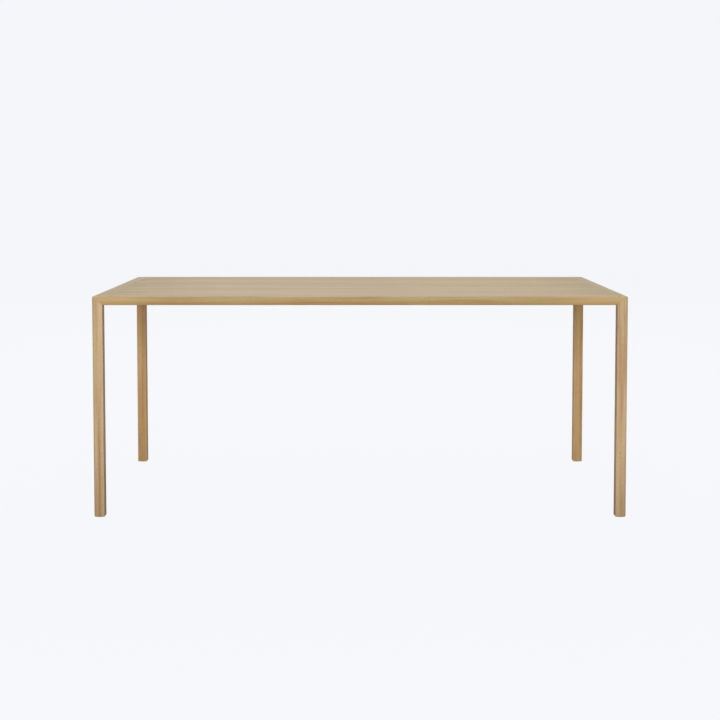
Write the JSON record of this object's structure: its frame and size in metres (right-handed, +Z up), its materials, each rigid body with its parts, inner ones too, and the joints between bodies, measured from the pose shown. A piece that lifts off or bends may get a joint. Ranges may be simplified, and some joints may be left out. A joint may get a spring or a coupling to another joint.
{
  "type": "communion table",
  "caption": "Long plain oak table: a thin flush-edged top on square legs at its corners, joined in three-way mitres, for a church or hall.",
  "frame": {"origin": "on the floor, under the centre of the top", "axes": "+X along the length of the top, +Y from the front long edge to the rear one, +Z up"},
  "size_m": [1.8, 0.9, 0.75],
  "materials": {
    "oak_veneer": "oak veneer, matt lacquer, grain along the length",
    "oak_veneer_under": "oak backing veneer, thinly sealed",
    "oak_lipping": "solid oak, matt lacquer, grain along each piece",
    "oak_leg": "solid oak, matt lacquer, grain upright",
    "core_board": "blockboard core, unfinished",
    "birch_plywood": "birch plywood, glued in",
    "beech_dowel": "fluted beech dowel, glued in",
    "zinc_steel": "mild steel, dull zinc plate",
    "screw_steel": "zinc-plated steel",
    "brass_insert": "turned brass",
    "stem_steel": "zinc-plated steel, fine thread",
    "nylon_pad": "moulded black nylon"
  },
  "bodies": {
    "table": {"top_core": "core_board", "top_veneer": "oak_veneer", "underside_veneer": "oak_veneer_under", "front_lipping": "oak_lipping", "rear_lipping": "oak_lipping", "left_lipping": "oak_lipping", "right_lipping": "oak_lipping", "front_tongue": "birch_plywood", "rear_tongue": "birch_plywood", "left_tongue": "birch_plywood", "right_tongue": "birch_plywood", "leg_front_left": "oak_leg", "dowels_front_left": "beech_dowel", "corner_plate_front_left": "zinc_steel", "leg_front_right": "oak_leg", "dowels_front_right": "beech_dowel", "corner_plate_front_right": "zinc_steel", "leg_rear_left": "oak_leg", "dowels_rear_left": "beech_dowel", "corner_plate_rear_left": "zinc_steel", "leg_rear_right": "oak_leg", "dowels_rear_right": "beech_dowel", "corner_plate_rear_right": "zinc_steel", "corner_plate_screws": "screw_steel", "channel_front": "zinc_steel", "channel_rear": "zinc_steel", "channel_screws": "screw_steel", "foot_inserts": "brass_insert"},
    "pad_front_left": {"foot_pad_front_left": "nylon_pad"},
    "stem_front_left": {"foot_stem_front_left": "stem_steel"},
    "pad_front_right": {"foot_pad_front_right": "nylon_pad"},
    "stem_front_right": {"foot_stem_front_right": "stem_steel"},
    "pad_rear_left": {"foot_pad_rear_left": "nylon_pad"},
    "stem_rear_left": {"foot_stem_rear_left": "stem_steel"},
    "pad_rear_right": {"foot_pad_rear_right": "nylon_pad"},
    "stem_rear_right": {"foot_stem_rear_right": "stem_steel"}
  },
  "joints": [
    {"name": "foot_front_left_height", "type": "slide", "parent": "table", "child": "pad_front_left", "axis": [0, 0, -1], "range_m": [0, 0.01]},
    {"name": "foot_front_left_screw", "type": "hinge", "parent": "pad_front_left", "child": "stem_front_left", "pos_m": [-0.882, -0.432, 0.005], "axis": [0, 0, -1], "range_deg": [0, 2880]},
    {"name": "foot_front_right_height", "type": "slide", "parent": "table", "child": "pad_front_right", "axis": [0, 0, -1], "range_m": [0, 0.01]},
    {"name": "foot_front_right_screw", "type": "hinge", "parent": "pad_front_right", "child": "stem_front_right", "pos_m": [0.882, -0.432, 0.005], "axis": [0, 0, -1], "range_deg": [0, 2880]},
    {"name": "foot_rear_left_height", "type": "slide", "parent": "table", "child": "pad_rear_left", "axis": [0, 0, -1], "range_m": [0, 0.01]},
    {"name": "foot_rear_left_screw", "type": "hinge", "parent": "pad_rear_left", "child": "stem_rear_left", "pos_m": [-0.882, 0.432, 0.005], "axis": [0, 0, -1], "range_deg": [0, 2880]},
    {"name": "foot_rear_right_height", "type": "slide", "parent": "table", "child": "pad_rear_right", "axis": [0, 0, -1], "range_m": [0, 0.01]},
    {"name": "foot_rear_right_screw", "type": "hinge", "parent": "pad_rear_right", "child": "stem_rear_right", "pos_m": [0.882, 0.432, 0.005], "axis": [0, 0, -1], "range_deg": [0, 2880]}
  ],
  "couplings": [
    {"joint": "foot_front_left_height", "follows": "foot_front_left_screw", "m_per_rad": 0.00019894},
    {"joint": "foot_front_right_height", "follows": "foot_front_right_screw", "m_per_rad": 0.00019894},
    {"joint": "foot_rear_left_height", "follows": "foot_rear_left_screw", "m_per_rad": 0.00019894},
    {"joint": "foot_rear_right_height", "follows": "foot_rear_right_screw", "m_per_rad": 0.00019894}
  ]
}
